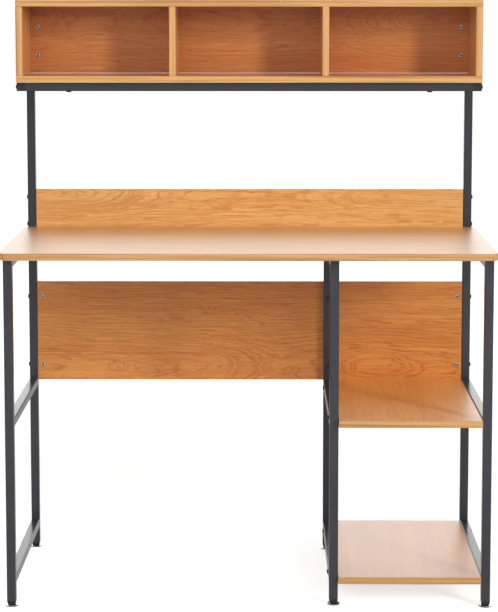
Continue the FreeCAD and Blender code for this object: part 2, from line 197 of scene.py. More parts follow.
def new_material(name):
    """An empty node material and its main shader."""
    material = bpy.data.materials.new(name)
    material.use_nodes = True
    return material, material.node_tree, material.node_tree.nodes["Principled BSDF"]


def roughen(tree, shader, height, strength, distance, soft=None):
    """Bump a surface by a fine height, over softened edges where they are given."""
    inputs = {"Strength": strength, "Distance": distance, "Height": height}
    if soft is not None:
        inputs["Normal"] = soft
    tree.links.new(put(tree, "Bump", inputs), shader.inputs["Normal"])


def swell(tree, spot, centre, reach):
    """A smooth hill of height 1 round a centre, given as length and width, with a reach along each."""
    away = []
    for value, middle, size in zip(spot, centre, reach):
        step = scaled(tree, value, 1 / size, -middle / size)
        away.append(times(tree, step, step))
    return math_node(tree, "EXPONENT", times(tree, math_node(tree, "ADD", *away), -1.0))


def board_spot(tree, grain, face):
    """Where a point lies along the grain, across it and into the board, and 1 on the lipped edges."""
    across = next(axis for axis in AXES if axis not in (grain, face))
    where = parts_of(tree, put(tree, "TexCoord", out="Object"))
    towards = parts_of(tree, put(tree, "TexCoord", out="Normal"))

    def turned_to(axis):
        tilt = math_node(tree, "ABSOLUTE", towards[axis])
        return math_node(tree, "GREATER_THAN", tilt, TURNED)

    # On an end of the board the lipping runs across, so length and width change places.
    end = turned_to(grain)
    length = blend_numbers(tree, end, where[grain], where[across])
    width = blend_numbers(tree, end, where[across], where[grain])
    lip = math_node(tree, "SUBTRACT", 1.0, turned_to(face))
    return (length, width, where[face]), lip


def depth_of_heart(tree, length, course, seed):
    """How deep the heart of the trunk lies beside the board, along its length."""
    if course:
        first, last = course[0][0], course[-1][0]
        along = put(tree, "MapRange", {"Value": length, 1: first, 2: last})
        stops = [((place - first) / (last - first), deep) for place, deep in course]
        return ramp(tree, along, stops, smooth=True)
    drift = noise_4d(tree, put(tree, "CombineXYZ", {0: length}), seed, scale=1.7, detail=0.0)
    return scaled(tree, drift, 0.50, -0.12)


def growth_rings(tree, spot, seed, heart, course, knots, pitch, squeeze):
    """The trunk's years counted outwards, and a mask of the knots' eyes, or None without knots."""
    length, width, _ = spot
    below = depth_of_heart(tree, length, course, seed)
    bend = scaled(tree, fibres(tree, spot, WANDERING, seed + 3.1), 0.030, -0.015)
    side = math_node(tree, "ADD", math_node(tree, "SUBTRACT", width, heart), bend)
    side = times(tree, side, squeeze)
    square = math_node(tree, "ADD", times(tree, side, side), times(tree, below, below))
    radius = math_node(tree, "SQRT", square)
    ragged = fibres(tree, spot, RAGGED_RINGS, seed + 5.7, detail=3.0, roughness=0.62)
    outwards = put(tree, "CombineXYZ", {0: radius})
    good_years = noise_4d(tree, outwards, seed + 2.0, scale=RUNS_OF_YEARS, detail=1.0)
    rings = scaled(tree, radius, 1 / pitch, times(tree, ragged, 1.25))
    rings = scaled(tree, good_years, 2.6, rings)
    eyes = None
    for along, across, size, pushed in knots:
        hill = swell(tree, spot, (along, across), (2.6 * size, size))
        rings = scaled(tree, hill, pushed, rings)
        eye = swell(tree, spot, (along, across), (0.55 * size, 0.32 * size))
        eyes = eye if eyes is None else larger(tree, eyes, eye)
    return rings, eyes


def dark_marks(tree, spot, seed, rings, eyes, bold, fineness):
    """How dark a spot is made by its rings, the fine lines that follow them, veins and knots."""
    length, _, depth = spot
    # Some years are bolder than others, and rings fade in and out along the board.
    late_wood = math_node(tree, "SUBTRACT", 1.0, ramp(tree, math_node(tree, "FRACT", rings), ONE_YEAR))
    year = put(tree, "TexWhiteNoise", {"W": math_node(tree, "FLOOR", rings)}, noise_dimensions="1D")
    fading = ramp(tree, fibres(tree, spot, FADING, seed + 8.3), ((0.36, 0.30 * bold), (0.64, bold)))
    strength = times(tree, fading, scaled(tree, year, 0.75, 0.45))
    dark = times(tree, times(tree, late_wood, strength), RING_SHADE)

    flow = put(tree, "CombineXYZ", {
        0: times(tree, length, FLOW_ALONG), 1: times(tree, rings, fineness), 2: times(tree, depth, FLOW_INTO),
    })
    flowing = ramp(tree, noise_4d(tree, flow, seed + 21.4, roughness=0.6), ((0.39, 1.0), (0.46, 0.0)))
    dark = larger(tree, dark, times(tree, flowing, FLOW_SHADE * bold))
    vein = ramp(tree, fibres(tree, spot, VEINS, seed + 20.9, roughness=0.6), ((0.41, 1.0), (0.48, 0.0)))
    dark = larger(tree, dark, times(tree, vein, VEIN_SHADE * bold))
    if eyes is not None:
        dark = larger(tree, dark, times(tree, eyes, KNOT_SHADE))
    return dark


def oak_face(tree, spot, seed, streak, pore, dark, tint):
    """The colour of a board's broad faces: pale streaks, dark marks, pores and faint clouds, times the
    board's tint, which is painted light and shade.
    """
    band = fibres(tree, spot, BANDS, seed + 13.4)
    paleness = math_node(tree, "ADD", times(tree, streak, 0.6), times(tree, band, 0.4))
    pale = ramp(tree, paleness, ((0.41, 0.0), (0.59, 1.0)))
    colour = blend_colours(tree, pale, opaque(OAK_MIDDLE), opaque(OAK_LIGHT))
    colour = blend_colours(tree, dark, colour, opaque(OAK_DARK))
    colour = blend_colours(tree, scaled(tree, pore, -PORE_SHADE, PORE_SHADE), colour, opaque(OAK_DARK))
    cloud = ramp(tree, fibres(tree, spot, CLOUDS, seed + 23.0), ((0.30, 0.92), (0.70, 1.05)))
    colour = blend_colours(tree, 1.0, colour, cloud, "MULTIPLY")
    # The tint is painted light and shade: it makes the whole board lighter or darker as the light falls on
    # it.
    return blend_colours(tree, 1.0, colour, opaque(tint), "MULTIPLY")


def oak_lipping(tree, spot, seed, edge):
    """The lipping on the edges: plainer and paler than the faces, with a few broad streaks."""
    broad = fibres(tree, spot, LIP_STREAKS, seed + 29.0, detail=3.0, roughness=0.6)
    streaked = ramp(tree, broad, ((0.38, 1.0), (0.58, 0.0)))
    colour = blend_colours(tree, streaked, opaque(LIP_LIGHT), opaque(LIP_DARK))
    return blend_colours(tree, 1.0, colour, opaque(edge), "MULTIPLY")


def lacquer(tree, shader, streak, pore):
    """A clear coat that is duller head on than at a slant, with the pores just felt through it."""
    gloss = scaled(tree, streak, 0.10, LACQUER_ROUGHNESS)
    tree.links.new(gloss, shader.inputs["Roughness"])
    tree.links.new(gloss, shader.inputs["Coat Roughness"])
    shader.inputs["Coat Weight"].default_value = LACQUER
    slant = put(tree, "LayerWeight", {"Blend": 0.5}, out=1)
    sheen = times(tree, math_node(tree, "POWER", slant, 3.0), SLANTED_SHEEN)
    tree.links.new(sheen, shader.inputs["Specular IOR Level"])
    height = math_node(tree, "ADD", times(tree, pore, 0.6), times(tree, streak, 0.5))
    soft = put(tree, "Bevel", {"Radius": CORNER_RADIUS}, samples=4)
    roughen(tree, shader, height, PORE_BUMP, PORE_DEPTH, soft)


# Each board's tint is painted light and shade, so boards of one oak come out lighter or darker as they are
# lit.
def oak(name, grain, face, seed, heart=0.0, course=None, knots=(), tint=(1.0, 1.0, 1.0), bold=1.0,
        pitch=0.011, squeeze=1.5, lines=560.0, edge=1.0):
    """Oak on one board, with the grain along one axis and the board's face towards another.

    The growth rings stand round a heart beside the board. heart is its place across the grain, and
    course lists how deep it lies at places along the grain, which draws the arches. Each knot is a
    place along and across the grain with its size and the number of rings it pushes aside. bold is
    how strongly the rings stand out, pitch the width of a year's growth, and squeeze how much closer
    the rings lie across the board. lines is how many fine lines a metre the rings carry, and edge
    lightens the lipping. seed places every noise of the board, each with a distance of its own.
    """
    material, tree, shader = new_material(name)
    spot, lip = board_spot(tree, grain, face)
    rings, eyes = growth_rings(tree, spot, seed, heart, course, knots, pitch, squeeze)
    dark = dark_marks(tree, spot, seed, rings, eyes, bold, pitch * lines / squeeze)
    streak = fibres(tree, spot, STREAKS, seed + 11.9, detail=3.0, roughness=0.70)
    pore = ramp(tree, fibres(tree, spot, PORES, seed + 17.3), ((0.34, 0.0), (0.43, 1.0)))
    face_colour = oak_face(tree, spot, seed, streak, pore, dark, tint)
    colour = blend_colours(tree, lip, face_colour, oak_lipping(tree, spot, seed, edge))
    tree.links.new(colour, shader.inputs["Base Color"])
    lacquer(tree, shader, streak, pore)
    return material


def finish_node(node, material):
    """Give a CAD node one material."""
    mesh = nodes[node].data
    mesh.materials.clear()
    mesh.materials.append(material)


# The desktop's tint is painted light: it makes the top paler, as the light and sheen on it look.
finish_node("desktop", oak("desktop_oak", "X", "Z", seed=1.7, heart=-0.12, tint=(1.05, 1.16, 1.34), bold=0.7))


# ---- Backsplash and modesty panel ---------------------------------------------------------------
# Two boards of the same oak between the rear posts, with the grain along the desk. The low one keeps
# things on the desktop; the tall one hangs under it and stiffens the frame.
def finish_upright(node, name, seed, heart, course, knots, **look):
    """Finish a board that stands along the desk, with heart and knots given below its top edge."""
    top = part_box(node)[1].z
    placed = [(along, top - below, size, pushed) for along, below, size, pushed in knots]
    finish_node(node, oak(name, "X", "Y", seed, top - heart, course, placed, **look))


# The backsplash's tint is painted light, making it brighter as it is lit from the front.
finish_upright(
    "backsplash_panel", "backsplash_oak", seed=4.2, heart=0.013,
    course=((-0.50, 0.0), (-0.46, 0.008), (-0.20, 0.105), (0.10, 0.107), (0.33, 0.040), (0.50, 0.025)),
    knots=((-0.182, 0.011, 0.009, 1.4),),
    tint=(1.11, 1.17, 1.24), bold=0.80, pitch=0.016, squeeze=2.6, lines=420.0,
)
# The modesty panel's tint is painted shade: darker and redder, as the desktop shades it.
finish_upright(
    "modesty_panel", "modesty_oak", seed=9.4, heart=0.203,
    course=((-0.50, 0.060), (-0.28, 0.070), (-0.09, 0.085), (0.07, 0.125), (0.30, 0.090), (0.50, 0.110)),
    knots=(
        (-0.308, 0.203, 0.008, 1.2), (-0.069, 0.203, 0.008, 1.2), (0.100, 0.208, 0.007, 1.0),
        (-0.198, 0.068, 0.011, -2.2), (-0.105, 0.074, 0.014, 2.4), (-0.030, 0.078, 0.012, -1.6),
    ),
    tint=(0.94, 0.74, 0.57), bold=0.88,
)


# ---- Shelves ------------------------------------------------------------------------------------
# Two boards at the right, cut with the grain from front to back, with the same foil and lipping. Bolts
# through the rails hold them at both sides, in barrel nuts sunk into their undersides.
HEART_FROM_MIDDLE = 0.005
# The shelves' tints are painted light and shade: the middle shelf is made lighter, the lower one darker as
# the middle shelf shades it.
for shelf, seed, tint, bold in (
    ("middle_shelf", 14.1, (1.22, 1.13, 1.00), 0.60),
    ("lower_shelf", 19.6, (0.76, 0.67, 0.55), 0.36),
):
    low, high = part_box(shelf)
    heart = (low.x + high.x) / 2 + HEART_FROM_MIDDLE
    finish_node(shelf, oak(shelf + "_oak", "Y", "Z", seed, heart, tint=tint, bold=bold, squeeze=3.0))


# ---- Hutch --------------------------------------------------------------------------------------
# Seven boards: top and bottom over the full width, two sides and two dividers between them, and a
# back panel let in between the sides. The boards' front edges are lipped a little paler.
# The hutch boards' tint is painted light, making their faces inside the cubbies brighter.
for board, grain, face, seed in (
    ("hutch_top", "X", "Z", 23.3), ("hutch_bottom", "X", "Z", 26.9),
    ("hutch_left_side", "Z", "X", 31.2), ("hutch_right_side", "Z", "X", 34.8),
    ("hutch_left_divider", "Z", "X", 37.5), ("hutch_right_divider", "Z", "X", 41.1),
):
    finish_node(board, oak(board + "_oak", grain, face, seed, tint=(1.08, 1.13, 1.25), edge=1.07))
# The back panel's tint is painted shade: darker and redder, as the cubbies shade it.
finish_upright(
    "hutch_back_panel", "hutch_back_oak", seed=45.7, heart=0.033,
    course=((-0.50, 0.080), (-0.36, 0.110), (-0.10, 0.080), (0.18, 0.105), (0.40, 0.024), (0.50, 0.014)),
    knots=((-0.44, 0.039, 0.010, 1.5), (0.08, 0.042, 0.008, -1.3)),
    tint=(0.73, 0.55, 0.475), bold=0.75,
)


# ---- Steel frame --------------------------------------------------------------------------------
# Square tube of 19 mm, welded into two side frames and an inner frame, with one more tube across
# under the hutch. All of it is powder coated in a fine satin graphite.
COAT = (0.0312, 0.0306, 0.0396)
COAT_WORN_AND_HIGHLIT = (0.078, 0.077, 0.083)
COAT_ROUGHNESS = 0.18
EDGE_WEAR_AND_HIGHLIGHT = 0.35
TUBE_CORNER = 0.0012
PEEL_SCALE = 900.0


def noise(tree, place, scale, detail=2.0):
    """Even noise, with its scale in features a metre."""
    return put(tree, "TexNoise", {"Vector": place, "Scale": scale, "Detail": detail})


def edge_mask(tree, radius):
    """About 1 along outer edges and 0 on flat faces, and the softened normal it comes from."""
    soft = put(tree, "Bevel", {"Radius": radius}, samples=6)
    straight = put(tree, "NewGeometry", out="Normal")
    match = put(tree, "VectorMath", {0: soft, 1: straight}, out="Value", operation="DOT_PRODUCT")
    return ramp(tree, match, ((0.86, 1.0), (0.995, 0.0))), soft


def powder_coat():
    """Satin powder coat: fine orange peel, a little dust in the tone, and a thin lighter line on the edges,
    speckled like wear and partly a painted highlight.
    """
    material, tree, shader = new_material("graphite_powder_coat")
    place = put(tree, "TexCoord", out="Object")
    peel = noise(tree, place, PEEL_SCALE, detail=3.0)
    tone = ramp(tree, noise(tree, place, 7.0, detail=3.0), ((0.3, 0.88), (0.7, 1.12)))
    speckle = ramp(tree, noise(tree, place, 260.0), ((0.45, 0.0), (0.7, 1.0)))
    edge, soft = edge_mask(tree, TUBE_CORNER)
    # The speckled lighter line along the edges is partly wear and partly a painted highlight of the rounded
    # corners.
    edge_wear_and_highlight = times(tree, times(tree, edge, speckle), EDGE_WEAR_AND_HIGHLIGHT)
    coat = blend_colours(tree, 1.0, opaque(COAT), tone, "MULTIPLY")
    tree.links.new(blend_colours(tree, edge_wear_and_highlight, coat, opaque(COAT_WORN_AND_HIGHLIT)), shader.inputs["Base Color"])
    satin = scaled(tree, peel, 0.10, COAT_ROUGHNESS)
    satin = math_node(tree, "ADD", satin, times(tree, edge, 0.4))
    tree.links.new(satin, shader.inputs["Roughness"])
    roughen(tree, shader, peel, 0.25, 0.0001, soft)
    return material


graphite = powder_coat()
for part in frame["record"]["subparts"]:
    if part["material_slot"] == "frame_paint":
        finish_node(part["node"], graphite)


# ---- Bolts --------------------------------------------------------------------------------------
# Button-head bolts with a hexagon socket, black oxide over steel. They go through the posts, rails
# and arms into barrel nuts in the boards, and into the hutch's front rail.
HEAD_RADIUS = 0.00525
HEAD_HEIGHT = 0.0030
HEAD_RIM = 0.0006
RIM_BREAK = 0.0002
CROWN_RADIUS = 0.46 * HEAD_RADIUS
CROWN_STEPS = 8
SOCKET_FLATS = 0.0040
SOCKET_DEPTH = 0.0018
SOCKET_SIDES = 6
# How far a cutting tool stands out of what it cuts.
CLEAR = 0.001
ROUND_STEPS = 48
SHARP_ANGLE = math.radians(32)
# Each bolt of a group is left at an angle of its own, so much further round than the one before.
SPIN = math.radians(37)
OXIDE_DARK = (0.020, 0.020, 0.022)
OXIDE_LIGHT = (0.045, 0.044, 0.046)
OXIDE_RUBBED = (0.16, 0.16, 0.165)


def solids_of(node):
    """Lowest and highest corner of each separate solid in a CAD node."""
    skin = bmesh.new()
    skin.from_mesh(nodes[node].data)
    bmesh.ops.remove_doubles(skin, verts=skin.verts, dist=1e-6)
    left = set(skin.verts)
    boxes = []
    while left:
        queue = [left.pop()]
        found = list(queue)
        while queue:
            for edge in queue.pop().link_edges:
                for vertex in edge.verts:
                    if vertex in left:
                        left.remove(vertex)
                        queue.append(vertex)
                        found.append(vertex)
        low = Vector(min(vertex.co[axis] for vertex in found) for axis in range(3))
        high = Vector(max(vertex.co[axis] for vertex in found) for axis in range(3))
        boxes.append((low, high))
    skin.free()
    return sorted(boxes, key=lambda box: tuple(round(value, 4) for value in box[0]))


def closed(skin, rings):
    """Join rings of vertices into one skin, with a cap at each end."""
    for lower, upper in zip(rings, rings[1:]):
        for step in range(len(lower)):
            after = (step + 1) % len(lower)
            skin.faces.new((lower[step], lower[after], upper[after], upper[step]))
    skin.faces.new(reversed(rings[0]))
    skin.faces.new(rings[-1])
    return skin


def turned(profile, steps=ROUND_STEPS):
    """A closed skin turned about Z from radius and height pairs; a third number gives flats."""
    skin = bmesh.new()
    rings = []
    for radius, height, *flats in profile:
        ring = []
        for step in range(steps):
            angle = 2 * math.pi * step / steps
            reach = radius
            if flats:
                half = math.pi / flats[0]
                reach = radius / math.cos((angle % (2 * half)) - half)
            ring.append(skin.verts.new((reach * math.cos(angle), reach * math.sin(angle), height)))
        rings.append(ring)
    return closed(skin, rings)


def cut(skin, cutters):
    """Take cutter skins out of a skin."""
    body = object_from(skin, "cut_body")
    for cutter in cutters:
        tool = object_from(cutter, "cut_tool")
        difference = body.modifiers.new("cut", "BOOLEAN")
        difference.object = tool
        difference.solver = "EXACT"
        view = bpy.context.evaluated_depsgraph_get()
        left = bpy.data.meshes.new_from_object(body.evaluated_get(view))
        body.modifiers.clear()
        body.data = left
        bpy.data.objects.remove(tool)
    result = bmesh.new()
    result.from_mesh(body.data)
    bpy.data.objects.remove(body)
    return result


def object_from(skin, name):
    """An object in the scene made from a skin, with sharp edges kept sharp under smooth shading."""
    for face in skin.faces:
        face.smooth = True
    for edge in skin.edges:
        edge.smooth = edge.is_manifold and edge.calc_face_angle() < SHARP_ANGLE
    mesh = bpy.data.meshes.new(name)
    skin.to_mesh(mesh)
    skin.free()
    shape = bpy.data.objects.new(name, mesh)
    scene.collection.objects.link(shape)
    return shape


def copies(skin, places):
    """One skin with a copy of the first at each place, given as a point and an outward direction."""
    pattern = bpy.data.meshes.new("pattern")
    skin.to_mesh(pattern)
    skin.free()
    group = bmesh.new()
    for number, (point, outward) in enumerate(places):
        turn = Vector((0, 0, 1)).rotation_difference(outward).to_matrix().to_4x4()
        spin = Matrix.Rotation(SPIN * number, 4, "Z")
        known = set(group.verts)
        group.from_mesh(pattern)
        added = [vertex for vertex in group.verts if vertex not in known]
        bmesh.ops.transform(group, matrix=Matrix.Translation(point) @ turn @ spin, verts=added)
    bpy.data.meshes.remove(pattern)
    return group


def fit_piece(skin, name, material, slot, body, *replaced):
    """Name a skin, finish it, let it ride on its body, and let it stand for its CAD nodes."""
    piece = object_from(skin, name)
    piece.data.materials.append(material)
    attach(piece, body)
    if replaced:
        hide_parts(*replaced)


def seats(node, axis, sign=None):
    """Where each solid of a node sits, as the middle of its inner face and its outward direction."""
    low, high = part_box(node)
    middle = (low + high) / 2
    found = []
    for bottom, top in solids_of(node):
        centre = (bottom + top) / 2
        outward = Vector((0, 0, 0))
        outward[axis] = sign or math.copysign(1, centre[axis] - middle[axis])
        seat = centre.copy()
        seat[axis] = bottom[axis] if outward[axis] > 0 else top[axis]
        found.append((seat, outward))
    return found


def button_head():
    """A low dome on a thin rim, with the socket cut into its flat top."""
    profile = [(HEAD_RADIUS * 0.97, 0.0), (HEAD_RADIUS, RIM_BREAK), (HEAD_RADIUS, HEAD_RIM)]
    for step in range(1, CROWN_STEPS + 1):
        angle = math.radians(90 * step / CROWN_STEPS)
        radius = CROWN_RADIUS + (HEAD_RADIUS - CROWN_RADIUS) * math.cos(angle)
        profile.append((radius, HEAD_RIM + (HEAD_HEIGHT - HEAD_RIM) * math.sin(angle)))
    reach = SOCKET_FLATS / 2
    bottom = (reach, HEAD_HEIGHT - SOCKET_DEPTH, SOCKET_SIDES)
    mouth = (reach, HEAD_HEIGHT + CLEAR, SOCKET_SIDES)
    socket = turned([bottom, mouth])
    return cut(turned(profile), [socket])


def black_oxide():
    """Oiled black oxide on steel: dark, slightly blotched, rubbed bare on the rims."""
    material, tree, shader = new_material("black_oxide")
    place = put(tree, "TexCoord", out="Object")
    blotch = noise(tree, place, 500.0, detail=4.0)
    edge, soft = edge_mask(tree, 0.0003)
    shade = ramp(tree, blotch, ((0.3, OXIDE_DARK), (0.7, OXIDE_LIGHT)))
    rubbed = blend_colours(tree, times(tree, edge, 0.5), shade, opaque(OXIDE_RUBBED))
    tree.links.new(rubbed, shader.inputs["Base Color"])
    tree.links.new(scaled(tree, blotch, 0.25, 0.22), shader.inputs["Roughness"])
    shader.inputs["Metallic"].default_value = 0.6
    roughen(tree, shader, blotch, 0.2, 0.00005, soft)
    return material


oxide = black_oxide()
for node in ("modesty_bolts", "backsplash_bolts", "shelf_bolts", "hutch_back_bolts", "hutch_rail_bolts"):
    heads = copies(button_head(), seats(node, 0))
    fit_piece(heads, node + "_heads", oxide, "dark_hardware", "desk", node)


# ---- Barrel nuts --------------------------------------------------------------------------------
# Nickel-plated steel cylinders sunk into bores in the panels, with a slot to turn them by hand. The
# bolts from outside the posts and the hutch run into their cross threads.
SLOT_WIDTH = 0.0022
SLOT_DEPTH = 0.0045
# The slot's length as a share of the nut's width.
SLOT_SHARE = 0.82
NUT_BREAK = 0.0005
HOLLOW_RIM = 0.0024
HOLLOW_DEPTH = 0.0040
NICKEL_DARK = (0.78, 0.75, 0.70)
NICKEL_LIGHT = (0.95, 0.92, 0.87)
# The near-black painted shade in the hollow and the slot.
NICKEL_PAINTED_SHADE = (0.03, 0.026, 0.022)


def bar(width, depth, height, lift=0.0):
    """A plain block about Z, as a cutting tool or a strip."""
    skin = bmesh.new()
    bmesh.ops.create_cube(skin, size=1.0)
    bmesh.ops.scale(skin, vec=(width, depth, height), verts=skin.verts)
    bmesh.ops.translate(skin, vec=(0, 0, lift), verts=skin.verts)
    return skin


def barrel_nut(radius, length):
    """A short cylinder with a broken rim, a hollow in its face and a slot across most of it."""
    profile = [
        (radius, 0.0), (radius, length - NUT_BREAK), (radius - 0.4 * NUT_BREAK, length - 0.3 * NUT_BREAK),
        (radius - NUT_BREAK, length), (radius - HOLLOW_RIM, length),
        (radius - HOLLOW_RIM - 0.0004, length - 0.0005),
        (radius - HOLLOW_RIM - 0.0006, length - HOLLOW_DEPTH),
    ]
    slot = bar(SLOT_WIDTH, SLOT_SHARE * 2 * radius, 2 * SLOT_DEPTH, length)
    return cut(turned(profile), [slot])


def nickel_plate():
    """Nickel on turned steel: bright, with fine turning marks, and painted shade that darkens the hollow and
    the slot where they are closed in.
    """
    material, tree, shader = new_material("nickel_plate")
    place = put(tree, "TexCoord", out="Object")
    mark = noise(tree, place, 1400.0)
    shade = ramp(tree, mark, ((0.3, NICKEL_DARK), (0.7, NICKEL_LIGHT)))
    # Painted shade: the near-black colour goes where the hollow and slot are closed in, found by ambient
    # occlusion.
    openness_for_painted_shade = put(tree, "AmbientOcclusion", {"Distance": 0.0050}, out=1, samples=8)
    openness_for_painted_shade = ramp(tree, openness_for_painted_shade, ((0.50, 0.0), (0.85, 1.0)))
    shade = blend_colours(tree, openness_for_painted_shade, opaque(NICKEL_PAINTED_SHADE), shade)
    tree.links.new(shade, shader.inputs["Base Color"])
    tree.links.new(scaled(tree, mark, 0.2, 0.22), shader.inputs["Roughness"])
    shader.inputs["Metallic"].default_value = 0.7
    roughen(tree, shader, mark, 0.3, 0.00004, put(tree, "Bevel", {"Radius": 0.0002}, samples=4))
    return material


nickel = nickel_plate()
for node in ("modesty_barrel_nuts", "hutch_barrel_nuts"):
    low, high = solids_of(node)[0]
    nuts = copies(barrel_nut((high.x - low.x) / 2, high.y - low.y), seats(node, 1, -1))
    fit_piece(nuts, node + "_slotted", nickel, "nickel", "desk", node)


# The backsplash has its nuts almost flush in the rear face, and the shelves have theirs underneath.
FLUSH_RADIUS = 0.0045
FLUSH_PROUD = 0.0008
FLUSH_SLOT_DEPTH = 0.0005
FROM_BOARD_END = 0.030
BACKWARDS = Vector((0, 1, 0))
DOWNWARDS = Vector((0, 0, -1))


def flush_nut():
    """The end of a nut set almost flush in a face that is seldom seen."""
    skin = turned([
        (FLUSH_RADIUS, 0.0), (FLUSH_RADIUS, 0.0005), (FLUSH_RADIUS - 0.0003, FLUSH_PROUD),
        (FLUSH_RADIUS - 0.0012, FLUSH_PROUD), (FLUSH_RADIUS - 0.0018, 0.0005),
    ])
    return cut(skin, [bar(2.2 * FLUSH_RADIUS, SLOT_WIDTH, 2 * FLUSH_SLOT_DEPTH, FLUSH_PROUD)])


def across_at_nut(outward, board):
    """How far to the right the nut for a bolt into one end of a board lies."""
    low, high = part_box(board)
    edge = high.x if outward.x > 0 else low.x
    return edge - outward.x * FROM_BOARD_END


places = []
for seat, outward in seats("backsplash_bolts", 0):
    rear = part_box("backsplash_panel")[1].y
    across = across_at_nut(outward, "backsplash_panel")
    places.append((Vector((across, rear, seat.z)), BACKWARDS))
fit_piece(copies(flush_nut(), places), "backsplash_nuts", nickel, "nickel", "desk")
places = []
middle_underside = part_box("middle_shelf")[0].z
for seat, outward in seats("shelf_bolts", 0):
    shelf = "middle_shelf" if seat.z > middle_underside else "lower_shelf"
    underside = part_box(shelf)[0].z
    places.append((Vector((across_at_nut(outward, shelf), seat.y, underside)), DOWNWARDS))
fit_piece(copies(flush_nut(), places), "shelf_nuts", nickel, "nickel", "desk")


# ---- Screws -------------------------------------------------------------------------------------
# Pan-head screws with a cross recess: two up through the hutch's front rail into its bottom, two
# through the inner rear leg into the modesty panel, and two up through each top rail into the desktop.
DESKTOP_SCREW_RADIUS = 0.0042
DESKTOP_SCREW_HEIGHT = 0.0024
# A pan head's straight side as a share of its height, and its flat top and cross of its radius.
SIDE_SHARE = 0.35
FLAT_SHARE = 0.45
CROSS_LENGTH = 1.15
CROSS_WIDTH = 0.22
PAN_STEPS = 7
# Where the screws sit along a top rail, as shares of its length.
ALONG_RAIL = (0.18, 0.82)


def pan_head(radius, height):
    """A pan head with a crowned top and a cross cut into it."""
    profile = [(radius, 0.0), (radius, height * SIDE_SHARE)]
    for step in range(1, PAN_STEPS + 1):
        angle = math.radians(90 * step / PAN_STEPS)
        reach = radius * (FLAT_SHARE + (1 - FLAT_SHARE) * math.cos(angle))
        profile.append((reach, height * (SIDE_SHARE + (1 - SIDE_SHARE) * math.sin(angle))))
    arm = radius * CROSS_LENGTH
    blade = radius * CROSS_WIDTH
    cross = [bar(arm, blade, height, height), bar(blade, arm, height, height)]
    return cut(turned(profile), cross)


for node, axis in (("hutch_mount_screws", 2), ("inner_leg_screws", 1)):
    low, high = solids_of(node)[0]
    head = pan_head((high.x - low.x) / 2, (high - low)[axis])
    fit_piece(copies(head, seats(node, axis, -1)), node + "_heads", oxide, "dark_hardware", "desk", node)
places = []
for rail in ("left_top_rail", "inner_top_rail", "right_top_rail"):
    low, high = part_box(rail)
    for share in ALONG_RAIL:
        place = Vector(((low.x + high.x) / 2, low.y + share * (high.y - low.y), low.z))
        places.append((place, DOWNWARDS))
heads = copies(pan_head(DESKTOP_SCREW_RADIUS, DESKTOP_SCREW_HEIGHT), places)
fit_piece(heads, "desktop_screws", oxide, "dark_hardware", "desk")


# ---- Plastic caps and inserts -------------------------------------------------------------------
# Black moulded plastic: caps in the open ends of the posts and arms, and tapered inserts in the
# lower ends of the legs, which take the feet's threads.
PLASTIC = (0.014, 0.014, 0.015)
PLASTIC_WORN = (0.05, 0.05, 0.052)


def moulded_plastic():
    """Matte black polypropylene with a fine spark-eroded grain."""
    material, tree, shader = new_material("moulded_plastic")
    place = put(tree, "TexCoord", out="Object")
    grain = noise(tree, place, 2200.0)
    edge, soft = edge_mask(tree, 0.0005)
    shade = blend_colours(tree, times(tree, edge, 0.4), opaque(PLASTIC), opaque(PLASTIC_WORN))
    tree.links.new(shade, shader.inputs["Base Color"])
    tree.links.new(scaled(tree, grain, 0.2, 0.42), shader.inputs["Roughness"])
    roughen(tree, shader, grain, 0.3, 0.00005, soft)
    return material


plastic = moulded_plastic()
for node in ("post_caps", "arm_caps", "leg_inserts"):
    finish_node(node, plastic)


# ---- Levelling feet -----------------------------------------------------------------------------
# A pressed steel disc, plated bright, on a threaded stem that turns in the insert. A dark pad under the disc
# stands on the floor; it is painted shade, a dark band for the shade under the disc's rim. Heights are from
# the floor up.
SHADE_PAD_HEIGHT = 0.0019
DISH_HEIGHT = 0.0024
RISE_HEIGHT = 0.0028
DISC_HEIGHT = 0.0030
BOSS_RADIUS = 0.0046
DISC_STEPS = 72
STEM_RADIUS = 0.0039
THREAD_PITCH = 0.00125
THREAD_DEPTH = 0.00070
THREAD_STEPS = 36
ROWS_IN_A_TURN = 8
PLATE_DARK = (0.52, 0.52, 0.53)
PLATE_LIGHT = (0.68, 0.68, 0.70)


def threaded_stem(bottom, top):
    """A stem whose skin rises and falls along a helix, with flats on crest and root."""
    skin = bmesh.new()
    rows = round((top - bottom) / THREAD_PITCH * ROWS_IN_A_TURN)
    rings = []
    for row in range(rows + 1):
        height = bottom + (top - bottom) * row / rows
        ring = []
        for step in range(THREAD_STEPS):
            angle = 2 * math.pi * step / THREAD_STEPS
            phase = ((height - bottom) / THREAD_PITCH - step / THREAD_STEPS) % 1.0
            groove = abs(2 * phase - 1)
            reach = STEM_RADIUS - THREAD_DEPTH * min(1.0, max(0.0, 1.25 * groove - 0.125))
            ring.append(skin.verts.new((reach * math.cos(angle), reach * math.sin(angle), height)))
        rings.append(ring)
    return closed(skin, rings)


def bright_plate():
    """Bright zinc plating on pressed steel, with faint rolling marks."""
    material, tree, shader = new_material("bright_plate")
    place = put(tree, "TexCoord", out="Object")
    mark = noise(tree, place, 700.0, detail=3.0)
    shade = ramp(tree, mark, ((0.3, PLATE_DARK), (0.7, PLATE_LIGHT)))
    tree.links.new(shade, shader.inputs["Base Color"])
    tree.links.new(scaled(tree, mark, 0.16, 0.08), shader.inputs["Roughness"])
    shader.inputs["Metallic"].default_value = 1.0
    roughen(tree, shader, mark, 0.15, 0.00004)
    return material


